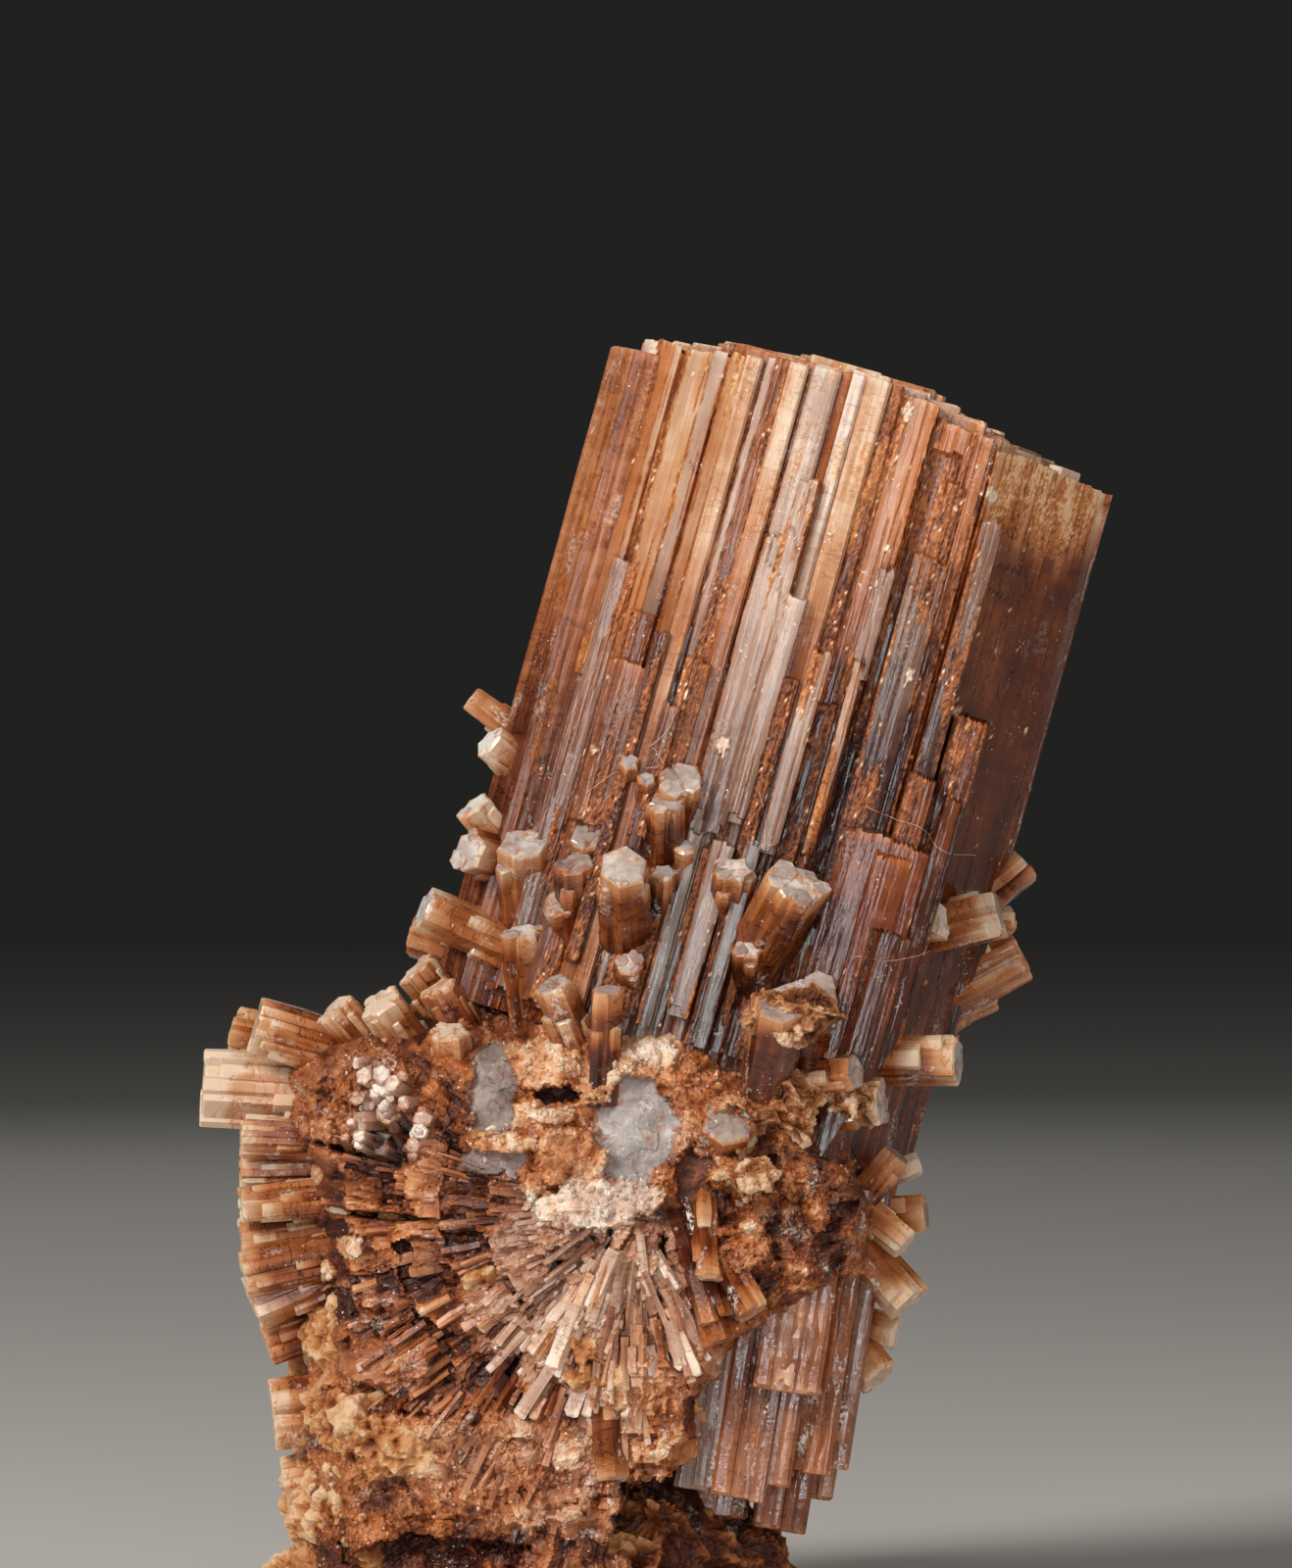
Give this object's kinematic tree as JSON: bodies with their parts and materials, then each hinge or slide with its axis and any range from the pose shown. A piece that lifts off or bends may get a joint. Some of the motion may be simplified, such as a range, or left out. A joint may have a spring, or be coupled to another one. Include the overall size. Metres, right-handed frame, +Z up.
{
  "type": "aragonite cluster specimen",
  "caption": "Brown aragonite cluster: a leaning ribbed twin crystal with a belt of short crystals, a radiating fan and a crusty foot cut off flat to stand on.",
  "frame": {"origin": "a point on the flat cut under the cluster, close to the cut's middle", "axes": "+Z up along the standing cluster, +X to the side that the main crystal leans to, +Y to the back"},
  "size_m": [0.031, 0.023, 0.044],
  "materials": {
    "aragonite": "satin"
  },
  "bodies": {
    "root": {"aragonite_cluster": "aragonite"}
  },
  "joints": []
}
